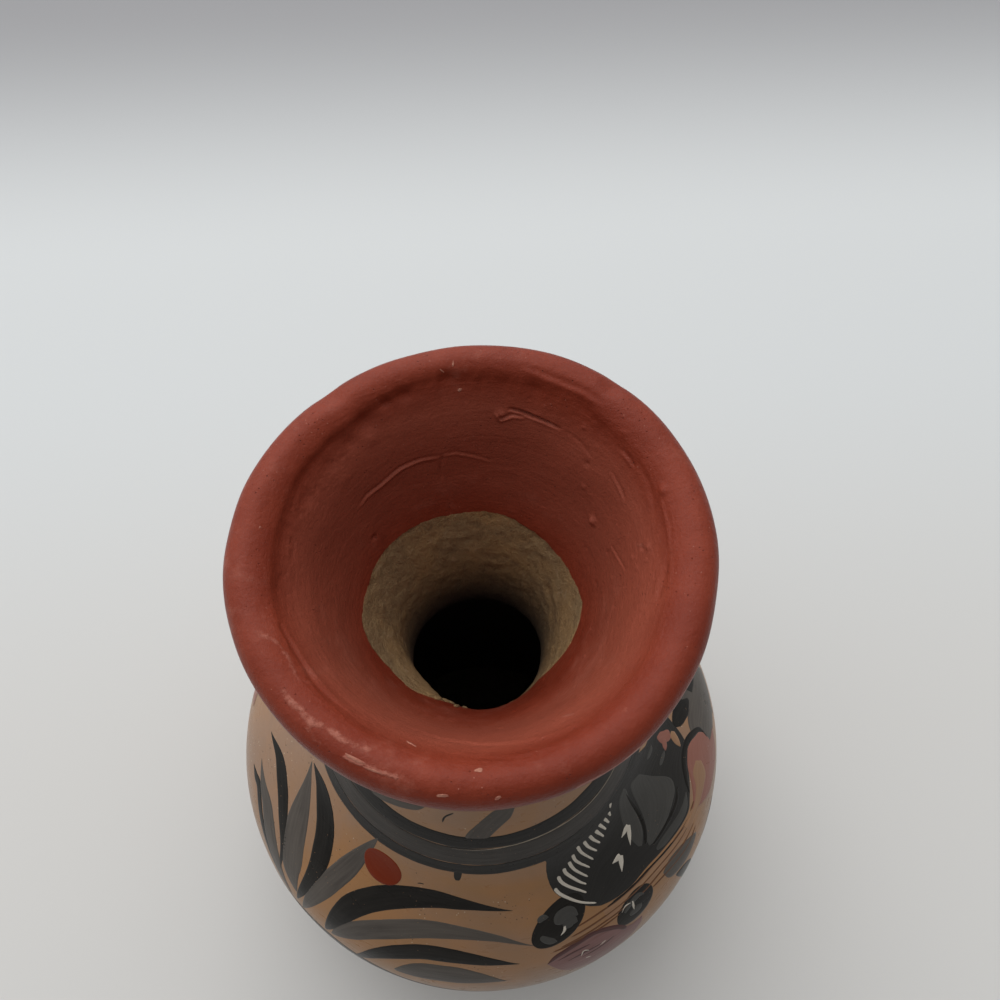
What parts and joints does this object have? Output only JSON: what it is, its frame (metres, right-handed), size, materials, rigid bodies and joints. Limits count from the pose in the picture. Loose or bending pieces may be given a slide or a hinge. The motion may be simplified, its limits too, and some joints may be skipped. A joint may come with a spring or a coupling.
{
  "type": "pottery vase",
  "caption": "Hand-built burnished clay vase with a round belly, waisted neck, flared mouth and rolled lip, painted with bands, leaves and dots.",
  "frame": {"origin": "centre of the foot, on the plane that the vase stands on", "axes": "+Z is the vase's axis, up through the mouth; -Y is the side that the picture shows nearest"},
  "size_m": [0.1566, 0.1566, 0.235],
  "materials": {
    "buff_clay": "burnished buff clay with a soft satin gloss, painted in dark and grey slip",
    "red_slip": "burnished brick-red slip, satin",
    "bare_clay": "unslipped fired clay, matt and gritty"
  },
  "bodies": {
    "root": {"base_slab": "bare_clay", "lower_bowl": "buff_clay", "upper_bowl": "buff_clay", "neck": "buff_clay", "mouth_funnel": "red_slip", "lip_roll": "red_slip"}
  },
  "joints": []
}
